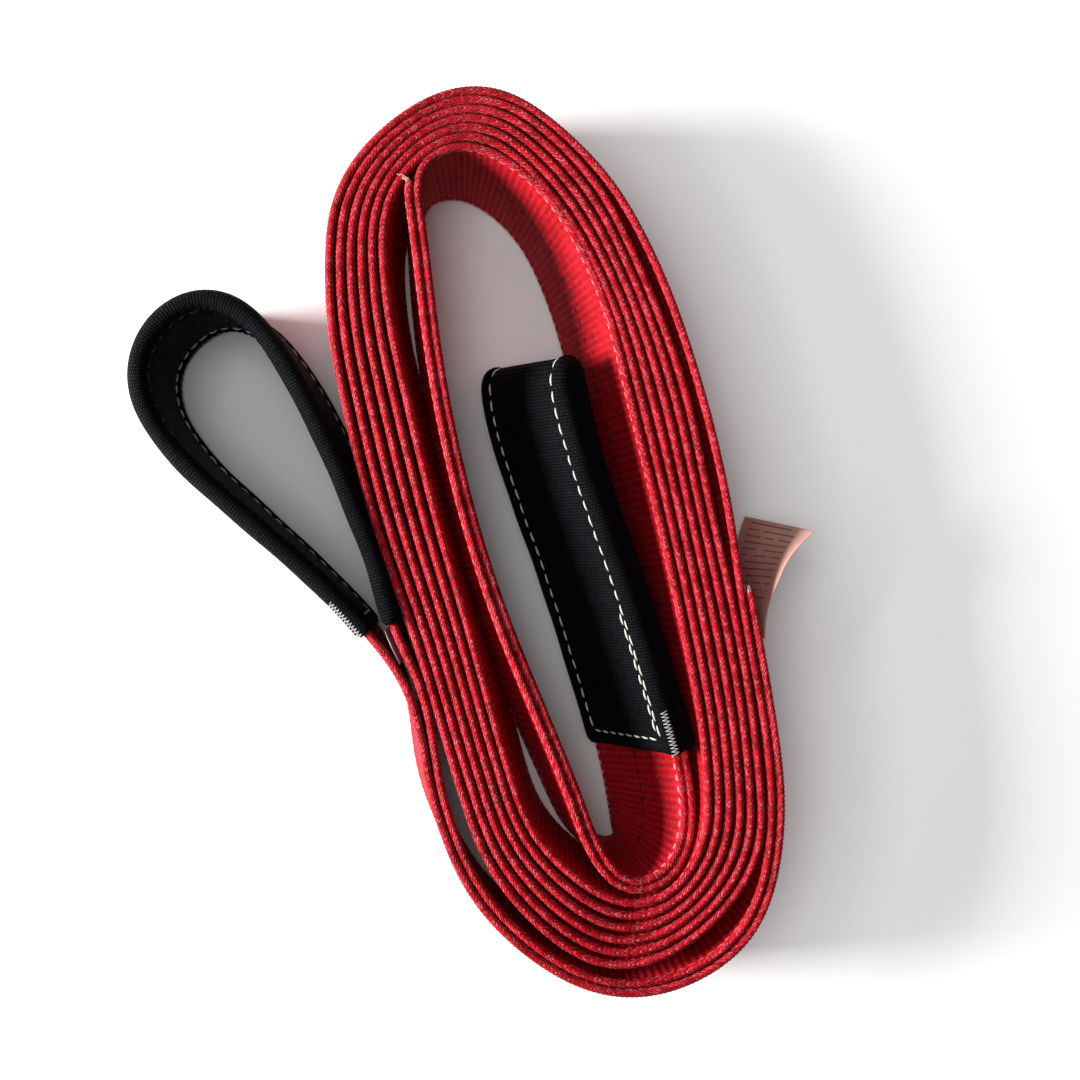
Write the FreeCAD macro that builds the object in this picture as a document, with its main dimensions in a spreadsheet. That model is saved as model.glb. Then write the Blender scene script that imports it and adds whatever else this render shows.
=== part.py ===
import FreeCAD, Part
import math
import os
from FreeCAD import Placement, Rotation, Vector

# Flat web sling (eye and eye), wound on edge into an oval coil. Millimetres, +Z up.
# The web's width stands along Z, and the coil's long way is near Y. The origin is on the ground, at the
# middle of the outline. The web is one continuous length: it starts at the cut end of the inner tail, runs
# round the inner eye, back along that tail, seven turns outwards to the outer eye, and back as the outer tail.

doc = FreeCAD.newDocument("flat_web_sling")

SIZES = [
    ("web_width", 50.8),
    ("web_thickness", 3.0),
    ("ply_gap", 0.4),
    ("sleeve_wall", 1.2),
    ("sleeve_gap", 0.1),
    ("thread_proud", 0.4),
    ("thread_width", 0.9),
    ("seam_inset", 7.0),
    ("overlock_width", 3.0),
    ("splice_rows", 4),
    ("tag_thickness", 0.5),
    ("tag_width", 44.0),
    ("label_thickness", 0.3),
    ("label_width", 20.0),
    ("inner_eye_length", 157.0),
    ("inner_eye_gap", 1.0),
    ("inner_eye_lean", 34.0),
    ("inner_eye_yaw", 16.6),
    ("fray_length", 5.0),
    ("fray_radius", 0.35),
]
sheet = doc.addObject("Spreadsheet::Sheet", "Sizes")
for row, (alias, number) in enumerate(SIZES, start=1):
    sheet.set(f"A{row}", alias)
    sheet.set(f"B{row}", str(number))
    sheet.setAlias(f"B{row}", alias)
doc.recompute()

WIDTH = sheet.web_width
THICK = sheet.web_thickness
PLY_PITCH = THICK + sheet.ply_gap
SLEEVE_THICK = THICK + 2 * (sheet.sleeve_wall + sheet.sleeve_gap)
SLEEVE_HEIGHT = WIDTH + 2 * sheet.sleeve_wall

# The coil's turns lie evenly between an innermost and an outermost loop. Both are followed clockwise from
# the top, and the turn that carries the outer splice has a loop of its own, because it stands off at the side.
INNER_LOOP = [
    (1, 160.5), (31, 134.5), (53, 95), (64, 57), (75, 12), (85, -35), (93, -75), (93, -120),
    (67, -146), (26, -118), (13, -79), (1, -35), (-12, 9), (-23, 54), (-32, 94), (-33, 138),
]
OUTER_LOOP = [
    (3, 180.5), (47, 146), (67, 104), (84, 61), (94, 16), (105, -29), (113, -75), (119, -128),
    (59, -170), (11, -133), (-6, -83), (-18, -40), (-34, 3), (-45, 46), (-54, 92), (-50.5, 145.5),
]
LAST_LOOP = [
    (3, 184.3), (51, 150), (74, 108), (90, 62), (102, 17), (108, -28), (117, -72), (121, -114),
    (114, -150), (89, -168), (60, -172), (34, -160), (8, -134), (-12, -84), (-21, -50), (-28, -33),
]
EVEN_TURNS = 6
MIDDLE = (4.36, 0.08)  # middle of the outline in the layout's own coordinates; the origin is put here

# The inner splice: from the inner eye's throat round the bottom and up to the sharp bend at the top.
INNER_SPLICE = [
    (70.5, -82), (74, -93), (80, -108), (79, -126), (64, -134), (51, -119), (43, -96), (28, -60),
    (14, -26), (3, 8), (-5, 40), (-11, 72), (-15, 104), (-18.5, 134), (-20, 144), (-11, 149), (3, 153.5),
]
TAIL_LAST_RUN = 13  # the inner tail is cut off half way along this run of the splice

# The outer eye, from the body's side of its throat round the tip to the tail's side.
OUTER_EYE = [
    (-28.3, -32), (-34, -12), (-42, 8), (-53, 34), (-66, 59), (-77, 78), (-90, 91), (-104, 92.5),
    (-117, 83), (-124.5, 68), (-121, 50), (-108, 32), (-85, 11), (-55, -15), (-36, -36),
]
# The outer tail leaves the body's side for its own side of the throat.
TAIL_THROAT = [(-26, -55), (-35, -37.8)]
TAIL_CORNERS = (5, 14)  # corners of LAST_LOOP that the tail lies beside
TAIL_START = (110.3, -18)
TAIL_OFFSET = PLY_PITCH + 0.3

TAG_ROUTE = [(116.2, -37), (113.3, -20), (113.5, -6), (121, 7), (135.2, 12)]
INNER_EYE_CORNER = (62.3, -79)  # where the inner eye's lower edge stands at its throat


def centred(points):
    """Layout points measured from the middle of the outline."""
    return [(x - MIDDLE[0], y - MIDDLE[1]) for x, y in points]


def unit(a, b):
    """Direction from a to b, and the distance."""
    length = math.dist(a, b)
    return ((b[0] - a[0]) / length, (b[1] - a[1]) / length), length


def shifted(point, direction, along, left=0.0):
    """The point moved along a direction, and to the left of it."""
    return (point[0] + direction[0] * along - direction[1] * left,
            point[1] + direction[1] * along + direction[0] * left)


def side(route, start, end, offset):
    """Lines and arcs beside a route of straight runs whose corners are rounded as far as the runs allow.

    start and end are (run, share of that run); offset is to the left. Each piece is a tuple of 2 or 3 points.
    """
    runs = [unit(a, b) for a, b in zip(route, route[1:])]
    first, last = start[0], end[0]
    here = shifted(route[first], runs[first][0], start[1] * runs[first][1], offset)
    pieces = []
    for corner in range(first + 1, last + 1):
        (before, length_before), (after, length_after) = runs[corner - 1], runs[corner]
        turn = math.atan2(before[0] * after[1] - before[1] * after[0], before[0] * after[0] + before[1] * after[1])
        reach = min(length_before, length_after) / 2
        radius = reach / math.tan(abs(turn) / 2)
        hand = math.copysign(1.0, turn)
        enter = shifted(route[corner], before, -reach, offset)
        leave = shifted(route[corner], after, reach, offset)
        centre = shifted(route[corner], before, -reach, hand * radius)
        outward, _ = unit(centre, route[corner])
        middle = shifted(centre, outward, radius - hand * offset)
        if math.dist(here, enter) > 1e-6:
            pieces.append((here, enter))
        pieces.append((enter, middle, leave))
        here = leave
    finish = shifted(route[last], runs[last][0], end[1] * runs[last][1], offset)
    if math.dist(here, finish) > 1e-6:
        pieces.append((here, finish))
    return pieces


def strip(route, start, end, offset, thickness):
    """The closed outline, seen from above, of a strip that stands on edge along a route."""
    left = side(route, start, end, offset + thickness / 2)
    right = side(route, start, end, offset - thickness / 2)
    back = [piece[::-1] for piece in reversed(right)]
    return left + [(left[-1][-1], back[0][0])] + back + [(back[-1][-1], left[0][0])]


def whole(route):
    """The start and end of a whole route, as strip() takes them."""
    return (0, 0.0), (len(route) - 2, 1.0)


def beside(route, distance):
    """The corners of a route moved to its left."""
    moved = []
    for before, corner, after in zip(route, route[1:], route[2:]):
        (first, _), (second, _) = unit(before, corner), unit(corner, after)
        bisector, size = unit((0, 0), (-first[1] - second[1], first[0] + second[0]))
        moved.append(shifted(corner, bisector, 2 * distance / size))
    return moved


def body_named(name, placement=None):
    """A new PartDesign body with its label and place."""
    body = doc.addObject("PartDesign::Body", name)
    body.Label = name
    body.AllowCompound = True
    if placement:
        body.Placement = placement
    return body


def origin_part(body, role):
    """One of the body's own origin planes or axes."""
    return next(part for part in body.Origin.OriginFeatures if part.Role == role)


def outline_sketch(body, name, outlines, height):
    """A sketch of closed outlines on the body's ground plane, raised by an expression in the sheet's names."""
    sketch = body.newObject("Sketcher::SketchObject", name)
    sketch.AttachmentSupport = [(origin_part(body, "XY_Plane"), "")]
    sketch.MapMode = "FlatFace"
    sketch.setExpression("AttachmentOffset.Base.z", height)
    for outline in outlines:
        for piece in outline:
            points = [Vector(*point, 0) for point in piece]
            sketch.addGeometry(Part.LineSegment(*points) if len(points) == 2 else Part.Arc(*points))
    return sketch


def pad(body, outlines, bottom, height):
    """Raises outlines into solids; bottom and height are expressions."""
    sketch = outline_sketch(body, body.Name + "_outline", outlines, bottom)
    feature = body.newObject("PartDesign::Pad", body.Name + "_pad")
    feature.Profile = sketch
    feature.setExpression("Length", height)
    body.Tip = feature
    return feature


def web(name, route, start, end, offset=0.0, bottom="0 mm", placement=None):
    """A stretch of web standing on edge."""
    body = body_named(name, placement)
    pad(body, [strip(route, start, end, offset, THICK)], bottom, "Sizes.web_width * 1 mm")
    return body


def sleeve(name, route, start, end, placement=None):
    """A sleeve round a web, with the channel that the web lies in."""
    body = body_named(name, placement)
    pad(body, [strip(route, start, end, 0, SLEEVE_THICK)], "0 mm",
        "(Sizes.web_width + 2 * Sizes.sleeve_wall) * 1 mm")
    channel = outline_sketch(body, name + "_channel", [strip(route, start, end, 0, THICK + 2 * sheet.sleeve_gap)],
                             "(Sizes.web_width + Sizes.sleeve_wall) * 1 mm")
    cut = body.newObject("PartDesign::Pocket", name + "_pocket")
    cut.Profile = channel
    cut.setExpression("Length", "Sizes.web_width * 1 mm")
    body.Tip = cut
    return body


def both_faces(route, start, end):
    """Outlines of thread lying on the two faces of a sleeve."""
    proud = sheet.thread_proud
    reach = (SLEEVE_THICK + proud) / 2
    return [strip(route, start, end, hand * reach, proud) for hand in (1, -1)]


def thread(name, outlines, bottom, height, placement=None):
    """Sewing thread as a flat ribbon on the cloth."""
    body = body_named(name, placement)
    pad(body, outlines, bottom, height)
    return body


def sleeve_threads(eye, route, start, end, placement=None):
    """The seams of one eye sleeve: two long rows, the cross rows and the overlocked ends."""
    row = "Sizes.thread_width * 1 mm"
    low = "Sizes.seam_inset * 1 mm"
    high = "(Sizes.web_width + 2 * Sizes.sleeve_wall - Sizes.seam_inset - Sizes.thread_width) * 1 mm"
    between = "(Sizes.web_width + 2 * Sizes.sleeve_wall - 2 * Sizes.seam_inset - 2 * Sizes.thread_width) * 1 mm"
    first, last = unit(*route[:2])[1], unit(*route[-2:])[1]
    near = sheet.overlock_width + 1
    start_row = (start[0], start[1] + near / first)
    end_row = (end[0], end[1] - near / last)
    long_rows = both_faces(route, start_row, end_row)
    thread(eye + "_sleeve_seam_lower", long_rows, low, row, placement)
    thread(eye + "_sleeve_seam_upper", long_rows, high, row, placement)
    wide_first, wide_last = sheet.thread_width / first, sheet.thread_width / last
    cross = both_faces(route, start_row, (start_row[0], start_row[1] + wide_first))
    cross += both_faces(route, (end_row[0], end_row[1] - wide_last), end_row)
    thread(eye + "_sleeve_cross_seams", cross, "(Sizes.seam_inset + Sizes.thread_width) * 1 mm", between, placement)
    lock_first, lock_last = sheet.overlock_width / first, sheet.overlock_width / last
    lock = both_faces(route, start, (start[0], start[1] + lock_first))
    lock += both_faces(route, (end[0], end[1] - lock_last), end)
    thread(eye + "_sleeve_overlock", lock, "1 mm", "(Sizes.web_width + 2 * Sizes.sleeve_wall - 2) * 1 mm", placement)


def stitch_rows(name, route, start, end, offset):
    """Evenly spaced rows of splice stitching on one face of a web."""
    body = body_named(name)
    rows = pad(body, [strip(route, start, end, offset, sheet.thread_proud)],
               "Sizes.seam_inset * 1 mm", "Sizes.thread_width * 1 mm")
    pattern = body.newObject("PartDesign::LinearPattern", name + "_rows")
    pattern.Originals = [rows]
    pattern.Direction = (origin_part(body, "Z_Axis"), [""])
    pattern.setExpression("Length", "(Sizes.web_width - 2 * Sizes.seam_inset - Sizes.thread_width) * 1 mm")
    pattern.Occurrences = int(sheet.splice_rows)
    body.Tip = pattern


def frayed_thread(name, foot, leans):
    """Two loose yarns at a cut end of web, each leaning its own way."""
    yarns = []
    for number, tilt in enumerate(leans, start=1):
        yarn = doc.addObject("Part::Cylinder", f"{name}_yarn_{number}")
        yarn.setExpression("Radius", "Sizes.fray_radius * 1 mm")
        yarn.setExpression("Height", "Sizes.fray_length * 1 mm")
        height = WIDTH * (0.9 - 0.35 * number)
        yarn.Placement = Placement(Vector(*foot, height), Rotation(Vector(0, 1, 0), tilt))
        yarns.append(yarn)
    group = doc.addObject("Part::Compound", name)
    group.Links = yarns
    group.Label = name
    return group


def coil_route():
    """The body's whole route from the inner throat to the outer throat, and the corner that starts each turn."""
    route = INNER_SPLICE + INNER_LOOP[1:]
    starts = [len(INNER_SPLICE) - 1]
    for turn in range(1, EVEN_TURNS):
        share = turn / (EVEN_TURNS - 1)
        starts.append(len(route))
        route += [tuple(a + share * (b - a) for a, b in zip(*pair)) for pair in zip(INNER_LOOP, OUTER_LOOP)]
    starts.append(len(route))
    return centred(route + LAST_LOOP), starts


route, turn_starts = coil_route()
HALF = 0.5
splice_end = (TAIL_LAST_RUN, HALF)
web("inner_splice_web", route, (0, 0.0), splice_end)
web("inner_tail", route, (0, 0.0), splice_end, offset=PLY_PITCH)
ends = [(corner - 1, HALF) for corner in turn_starts[1:]] + [whole(route)[1]]
begin = splice_end
for number, end in enumerate(ends, start=1):
    web(f"coil_turn_{number}", route, begin, end)
    begin = end

beside_last = beside(LAST_LOOP, TAIL_OFFSET)[TAIL_CORNERS[0]:TAIL_CORNERS[1] - 1]
tail = centred([TAIL_START] + beside_last + TAIL_THROAT)
web("outer_tail", tail, *whole(tail))

face = (THICK + sheet.thread_proud) / 2
stitch_rows("inner_splice_stitching", route, (0, HALF), splice_end, -face - 0.01)
stitch_rows("outer_splice_stitching", tail, (1, HALF), (len(tail) - 3, HALF), face + 0.01)

# The outer eye stands on edge.
outer_eye = centred(OUTER_EYE)
eye_start, eye_end = whole(outer_eye)
raised = "Sizes.sleeve_wall * 1 mm"
web("outer_eye_web", outer_eye, eye_start, eye_end, bottom=raised)
first_run, last_run = unit(*outer_eye[:2])[1], unit(*outer_eye[-2:])[1]
SLEEVE_BACK = 2.0  # bare web between the hinge line and each end of a sleeve
sleeve_start = (0, SLEEVE_BACK / first_run)
sleeve_end = (len(outer_eye) - 2, 1 - SLEEVE_BACK / last_run)
sleeve("outer_eye_sleeve", outer_eye, sleeve_start, sleeve_end)
sleeve_threads("outer_eye", outer_eye, sleeve_start, sleeve_end)

# The inner eye is a flattened loop that leans on the coil. It is drawn upright, its lower right edge on its
# own Y axis, and then turned.
limb = (SLEEVE_THICK + sheet.inner_eye_gap) / 2
middle = -(SLEEVE_THICK + limb)
flat_end = sheet.inner_eye_length - SLEEVE_THICK / 2
inner_eye = [
    (middle + limb, 0), (middle + limb, flat_end / 2), (middle + limb, flat_end),
    (middle - limb, flat_end), (middle - limb, flat_end / 2), (middle - limb, 0),
]
inner_eye[1] = (inner_eye[1][0] + 0.02, inner_eye[1][1])
inner_eye[4] = (inner_eye[4][0] - 0.02, inner_eye[4][1])
stand = Placement(Vector(*centred([INNER_EYE_CORNER])[0], 0), Rotation(Vector(0, 0, 1), sheet.inner_eye_yaw)
                  * Rotation(Vector(0, 1, 0), sheet.inner_eye_lean))
web("inner_eye_web", inner_eye, *whole(inner_eye), bottom=raised, placement=stand)
inner_start = (0, SLEEVE_BACK / (flat_end / 2))
inner_end = (len(inner_eye) - 2, 1 - SLEEVE_BACK / (flat_end / 2))
sleeve("inner_eye_sleeve", inner_eye, inner_start, inner_end, placement=stand)
sleeve_threads("inner_eye", inner_eye, inner_start, inner_end, placement=stand)

# Tag, its stitching, and the strip label in the outer throat.
tag_route = centred(TAG_ROUTE)
tag = body_named("rating_tag")
pad(tag, [strip(tag_route, *whole(tag_route), 0, sheet.tag_thickness)],
    "(Sizes.web_width - Sizes.tag_width) / 2 * 1 mm", "Sizes.tag_width * 1 mm")
tag_outside = -(sheet.tag_thickness + sheet.thread_proud) / 2
thread("tag_stitching", [strip(tag_route, (0, 0.1), (0, 0.2), tag_outside, sheet.thread_proud)],
       "((Sizes.web_width - Sizes.tag_width) / 2 + 2) * 1 mm", "(Sizes.tag_width - 4) * 1 mm")
label = body_named("throat_label")
label_side = (THICK + sheet.label_thickness) / 2 + 0.05
pad(label, [strip(route, (len(route) - 2, 0.35), (len(route) - 2, 0.95), label_side, sheet.label_thickness)],
    "(Sizes.web_width - Sizes.label_width) / 2 * 1 mm", "Sizes.label_width * 1 mm")

tail_cut = side(route, (0, 0.0), splice_end, PLY_PITCH)[-1][-1]
frayed_thread("inner_tail_frayed_thread", (tail_cut[0], tail_cut[1] + 1.0), (-8, -18))
frayed_thread("outer_tail_frayed_thread", (tail[0][0], tail[0][1] + 1.2), (10, 25))

doc.recompute()

members = [yarn for group in doc.Objects if group.TypeId == "Part::Compound" for yarn in group.Links]
nodes = [o for o in doc.Objects if o.TypeId in ("PartDesign::Body", "Part::Compound") and o not in members]
for item in doc.Objects:
    if "Invalid" in item.State or "Error" in item.State:
        raise RuntimeError(f"{item.Name}: {item.State}")
for node in nodes:
    if node.Shape.isNull() or not node.Shape.isValid() or not node.Shape.Solids:
        raise RuntimeError(f"{node.Label} has no valid solid")
for name, base in (("outer_eye_sleeve", "outer_eye_sleeve_pad"), ("inner_eye_sleeve", "inner_eye_sleeve_pad")):
    if not doc.getObject(name).Shape.Volume < 0.7 * doc.getObject(base).Shape.Volume:
        raise RuntimeError(f"the channel of {name} is not cut")

os.makedirs("parts", exist_ok=True)
for node in nodes:
    node.Shape.exportStep(f"parts/{node.Label}.step")
box = FreeCAD.BoundBox()
for node in nodes:
    box.add(node.Shape.BoundBox)
    print(node.Label, len(node.Shape.Solids), "solids", round(node.Shape.Volume), "mm3")
print("box", [round(v, 2) for v in (box.XMin, box.XMax, box.YMin, box.YMax, box.ZMin, box.ZMax)])
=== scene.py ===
"""Flat web sling wound on edge into an oval coil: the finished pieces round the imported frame."""
import logging
import math
from dataclasses import dataclass, field
from typing import Callable

import bpy
import numpy as np
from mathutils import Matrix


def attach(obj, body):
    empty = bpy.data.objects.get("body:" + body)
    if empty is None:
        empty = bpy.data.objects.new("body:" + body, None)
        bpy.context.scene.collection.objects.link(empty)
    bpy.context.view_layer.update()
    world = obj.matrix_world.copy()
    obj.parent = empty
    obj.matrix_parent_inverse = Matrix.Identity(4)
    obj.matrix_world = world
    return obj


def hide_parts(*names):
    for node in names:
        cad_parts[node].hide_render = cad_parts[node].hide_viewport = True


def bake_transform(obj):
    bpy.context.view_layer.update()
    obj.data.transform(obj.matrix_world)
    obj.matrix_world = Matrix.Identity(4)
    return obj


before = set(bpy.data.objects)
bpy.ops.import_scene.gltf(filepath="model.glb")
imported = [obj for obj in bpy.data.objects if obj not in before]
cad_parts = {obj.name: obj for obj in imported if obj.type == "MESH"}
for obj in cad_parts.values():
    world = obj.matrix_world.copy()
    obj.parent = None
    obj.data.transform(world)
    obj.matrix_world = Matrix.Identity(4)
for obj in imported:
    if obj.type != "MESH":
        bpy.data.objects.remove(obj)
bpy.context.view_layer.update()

LOG = logging.getLogger("web_sling")
MM = 0.001
MIDDLE = (4.36, 0.08)  # middle of the outline in the layout's own millimetres; the frame's origin is put here
WEB_WIDTH = 50.8 * MM
WEB_THICKNESS = 3.0 * MM
PLY_PITCH = 3.4 * MM
SLEEVE_WALL = 1.2 * MM
SLEEVE_HEIGHT = WEB_WIDTH + 2 * SLEEVE_WALL
SEAM_INSET = 7.0 * MM
SPLICE_FACE = -1.42 * MM  # where the stitched face of a web is, out from its middle plane
FRAY_AROUND = np.linspace(0, 1.5 * MM, 6)
SEED = 7

# Layout points of the web's top edge: (x, y, lean, slip). The route is followed clockwise from above. The
# lean in degrees puts the top edge outside the bottom edge, and the slip is how far the bottom edge is ahead.
SPLICE = [
    (76.0, -54.5, 33, 0), (80.6, -68.8, 33, 0), (82.8, -80.6, 33, 0), (85.2, -92.2, 32, 0),
    (86.4, -104.2, 31, 1), (85.2, -116.0, 28, 4), (79.2, -127.0, 18, 9), (64.0, -134.0, 7, 4),
    (51.0, -119.0, -5, 0), (43.0, -96.0, -8, 0), (28.0, -60.0, -9, 0), (14.0, -26.0, -9, 0),
    (3.0, 8.0, -8, 0), (-5.0, 40.0, -6, 0), (-11.0, 72.0, -4, 0), (-15.0, 104.0, -4, 0),
    (-18.5, 134.0, -1, 0), (-20.0, 144.5, 2, 0), (-11.0, 151.0, 7, 0), (3.0, 156.2, 10, 0),
    (33.0, 137.5, 13, 0), (55.0, 96.0, 18, 0),
]
SPLICE_END = 16  # the run of the splice in the middle of which the inner tail is cut off
FIRST_TURN_JOINS = 3  # the corner of the inner loop that follows those
INNER_LOOP = [
    (1, 160.5, 9, 0), (31, 134.5, 13, 0), (54, 95.5, 18, 0), (64, 57, 19, 0), (75, 12, 13, 0),
    (85, -35, 8, 0), (93, -75, 5, 0), (94.5, -121, 5, 0), (67, -146, 4, 0), (26, -118, 6, 0),
    (13, -79, 8, 0), (1, -35, 9, 0), (-12, 9, 8, 0), (-23, 54, 7, 0), (-32, 94, 6, 0), (-33, 138, 7, 0),
]
OUTER_LOOP = [
    (3, 180.5, 5, 0), (48, 147.3, 8, 0), (69, 105, 11, 0), (85.6, 61.5, 12, 0), (94.5, 16, 9, 0),
    (105, -29, 6, 0), (113, -75, 4, 0), (116.5, -131, 4, 0), (61, -173, 3, 0), (11, -134, 2, 0),
    (-6, -83, 2, 0), (-18, -40, 2, 0), (-34, 3, 3, 0), (-45, 46, 4, 0), (-54, 92, 4, 0),
    (-50.5, 145.5, 5, 0),
]
LAST_LOOP = [
    (3, 184.3, 4, 0), (51, 150, 6, 0), (75, 108.5, 8, 0), (91, 62.5, 8, 0), (102, 17, 6, 0),
    (108, -28, 4, 0), (117, -72, 3, 0), (120, -112, 3, 0), (111.5, -148, 3, 0), (88, -166.5, 1, 0),
    (60, -172, 0, 0), (32.5, -161, -1, 0), (4, -134, -3, 0), (-10.5, -95, -6, 0), (-13, -72, -5, 0),
    (-19.5, -48, -2, 0), (-28.5, -33, 0, 0),
]
EVEN_TURNS = 6
OUTER_EYE = [
    (-33.2, -11.6, 3, 0), (-41.2, 8.4, 4, 0), (-51.8, 34.7, 5, 0), (-64.4, 60, 4, 0), (-75.6, 79.6, 2, 0),
    (-89.6, 92.6, 0, 0), (-104.6, 94.2, -3, 0), (-118.4, 84, -4, 0), (-126, 68, -4, 0), (-122, 50, -4, 0),
    (-108.6, 31.6, -3, 0), (-85, 11, -2, 0), (-55, -15, 0, 0), (-36, -36, 0, 0),
]
TAIL_THROAT = [(-24.5, -51, 2, 0), (-17.6, -70, 5, 0)]
TAIL_CORNERS = (5, 14)  # corners of the last loop that the outer tail lies beside
TAIL_OFFSET = 3.7
TAIL_START = (110.3, -18, -4, 0)
THROAT_BACK = (-15.0, -64.0)  # where the web starts to turn with the outer eye

INNER_EYE_CORNER = (62.3, -79.0)
INNER_EYE_LEAN = 34.0
INNER_EYE_YAW = 16.6
INNER_EYE_SKEW = 0.19  # how far its top edge lies back towards the throat, over its height
INNER_EYE_LENGTH = 157.0
SLEEVE_CAD_THICKNESS = 5.6
INNER_EYE_GAP = 1.0

# The tag's bottom edge from its sewn end, with its lean away from the coil.
TAG_EDGE = [
    (115.9, -37, -1, 0), (113.7, -27, -4, 0), (113.6, -14, -11, 0), (114.2, -4, -16, 0),
    (116.2, 5, -21, 0), (118.6, 12, -27, 0),
]
TAG_WIDTH = 44.0 * MM


def layout(points: list) -> np.ndarray:
    """Layout points as frame metres and radians.

    Args:
        points: rows of (x, y, lean, slip), in millimetres and degrees.

    Returns:
        The same rows measured from the middle of the outline, in metres and radians.
    """
    rows = np.array(points, float)
    return np.column_stack([(rows[:, :2] - MIDDLE) * MM, np.radians(rows[:, 2]), rows[:, 3] * MM])


def smooth(low: float, high: float, value: np.ndarray) -> np.ndarray:
    """Rises from 0 at low to 1 at high: three squares less two cubes of the share of the way.

    Args:
        low: where the rise starts.
        high: where it ends.
        value: the places asked for.

    Returns:
        The height at each place.
    """
    share = np.clip((value - low) / (high - low), 0, 1)
    return share * share * (3 - 2 * share)


# ---------------------------------------------------------------- shader maths


class Value:
    """A number socket with arithmetic; each operation adds a Math node."""

    def __init__(self, tree: bpy.types.NodeTree, socket: bpy.types.NodeSocket) -> None:
        """Wraps one socket of a node tree."""
        self.tree, self.socket = tree, socket

    def maths(self, operation: str, *others: "Value | float", first: bool = True) -> "Value":
        """Adds a Math node.

        Args:
            operation: the node's operation.
            others: its other inputs, as values or numbers.
            first: whether this value is the first input.

        Returns:
            The node's result.
        """
        node = self.tree.nodes.new("ShaderNodeMath")
        node.operation = operation
        inputs = [self, *others] if first else [*others, self]
        for socket, value in zip(node.inputs, inputs):
            if isinstance(value, Value):
                self.tree.links.new(value.socket, socket)
            else:
                socket.default_value = float(value)
        return Value(self.tree, node.outputs[0])

    def __add__(self, other: "Value | float") -> "Value":
        """This plus the other."""
        return self.maths("ADD", other)

    __radd__ = __add__

    def __sub__(self, other: "Value | float") -> "Value":
        """This less the other."""
        return self.maths("SUBTRACT", other)

    def __rsub__(self, other: float) -> "Value":
        """The other less this."""
        return self.maths("SUBTRACT", other, first=False)

    def __mul__(self, other: "Value | float") -> "Value":
        """This times the other."""
        return self.maths("MULTIPLY", other)

    __rmul__ = __mul__

    def __truediv__(self, other: "Value | float") -> "Value":
        """This over the other."""
        return self.maths("DIVIDE", other)

    def fraction(self) -> "Value":
        """What is left after the whole number."""
        return self.maths("FRACT")

    def whole(self) -> "Value":
        """The whole number below."""
        return self.maths("FLOOR")

    def size(self) -> "Value":
        """The number without its sign."""
        return self.maths("ABSOLUTE")

    def fold(self, length: float) -> "Value":
        """Goes up to a length and back to 0, over and over."""
        return self.maths("PINGPONG", length)

    def below(self, limit: float) -> "Value":
        """1 where the value is under a limit."""
        return self.maths("LESS_THAN", limit)

    def wave(self) -> "Value":
        """A sine from 0 to 1, one period for each whole number."""
        return (self * (2 * math.pi)).maths("SINE") * 0.5 + 0.5

    def ridge(self) -> "Value":
        """A round ridge from 0 to 1 to 0 over each whole number: the sine of half a turn."""
        return (self.fraction() * math.pi).maths("SINE")


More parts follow.
